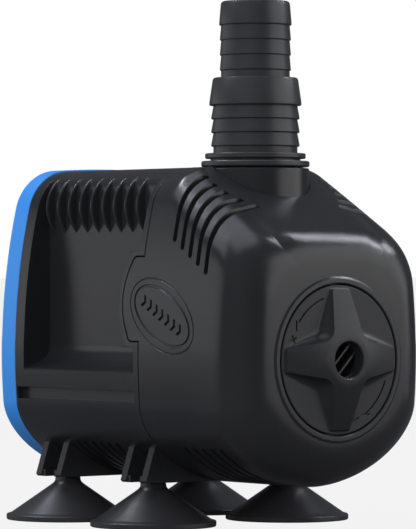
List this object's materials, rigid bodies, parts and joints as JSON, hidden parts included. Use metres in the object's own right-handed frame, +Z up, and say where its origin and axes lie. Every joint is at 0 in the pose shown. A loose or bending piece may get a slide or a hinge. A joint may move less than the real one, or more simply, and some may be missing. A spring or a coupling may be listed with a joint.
{
  "type": "submersible water pump",
  "caption": "Submersible magnet-drive water pump with slotted strainer cage, cross-knob flow dial, stepped hose tail, grip recesses and suction-cup feet.",
  "frame": {"origin": "on the surface the suction cups stand on, under the middle of the overall box", "axes": "+Z up along the hose tail, -Y towards the flow dial, +X to the right seen from the dial"},
  "size_m": [0.1088, 0.15, 0.1905],
  "materials": {
    "casing": "satin black moulded plastic with a fine grain",
    "blue_cover": "satin sky-blue moulded plastic",
    "rubber": "smooth black rubber",
    "inner_plastic": "grey moulded plastic",
    "steel": "stainless and lamination steel",
    "copper": "enamelled copper wire",
    "ferrite": "dark sintered ferrite",
    "ceramic": "polished ceramic"
  },
  "bodies": {
    "housing": {"motor_housing": "casing", "rear_cover": "blue_cover", "cable_gland": "rubber", "motor_lid": "inner_plastic", "rotor_well": "inner_plastic", "well_seal": "rubber", "stator_core": "steel", "bobbin_left": "inner_plastic", "bobbin_right": "inner_plastic", "coil_left": "copper", "coil_right": "copper", "rear_bush": "ceramic", "front_bush": "ceramic", "thrust_washer": "ceramic", "pump_chamber": "casing", "chamber_cover": "casing", "chamber_screw_1": "steel", "chamber_screw_2": "steel", "chamber_screw_3": "steel", "chamber_screw_4": "steel"},
    "rotor": {"rotor_shaft": "ceramic", "rotor_magnet": "ferrite", "impeller": "inner_plastic"},
    "tail": {"hose_tail": "casing", "outlet_ring": "rubber"},
    "cage": {"front_cage": "casing"},
    "dial": {"flow_dial": "casing", "hub_grille": "casing", "dial_retainer": "inner_plastic", "flow_shutter": "inner_plastic"},
    "cup_front_left": {"suction_cup_front_left": "rubber"},
    "cup_front_right": {"suction_cup_front_right": "rubber"},
    "cup_rear_left": {"suction_cup_rear_left": "rubber"},
    "cup_rear_right": {"suction_cup_rear_right": "rubber"}
  },
  "joints": [
    {"name": "rotor_spin", "type": "hinge", "parent": "housing", "child": "rotor", "pos_m": [0, 0, 0.064], "axis": [0, 1, 0], "continuous": true},
    {"name": "tail_turn", "type": "hinge", "parent": "housing", "child": "tail", "pos_m": [0, -0.0225, 0.13], "axis": [0, 0, 1], "continuous": true},
    {"name": "cage_pull", "type": "slide", "parent": "housing", "child": "cage", "axis": [0, -1, 0], "range_m": [0, 0.06]},
    {"name": "dial_turn", "type": "hinge", "parent": "cage", "child": "dial", "pos_m": [0, -0.0689, 0.0611], "axis": [0, -1, 0], "range_deg": [0, 90]},
    {"name": "cup_front_left_slide", "type": "slide", "parent": "housing", "child": "cup_front_left", "axis": [-1, 0, 0], "range_m": [0, 0.014]},
    {"name": "cup_front_right_slide", "type": "slide", "parent": "housing", "child": "cup_front_right", "axis": [1, 0, 0], "range_m": [0, 0.014]},
    {"name": "cup_rear_left_slide", "type": "slide", "parent": "housing", "child": "cup_rear_left", "axis": [-1, 0, 0], "range_m": [0, 0.014]},
    {"name": "cup_rear_right_slide", "type": "slide", "parent": "housing", "child": "cup_rear_right", "axis": [1, 0, 0], "range_m": [0, 0.014]}
  ]
}
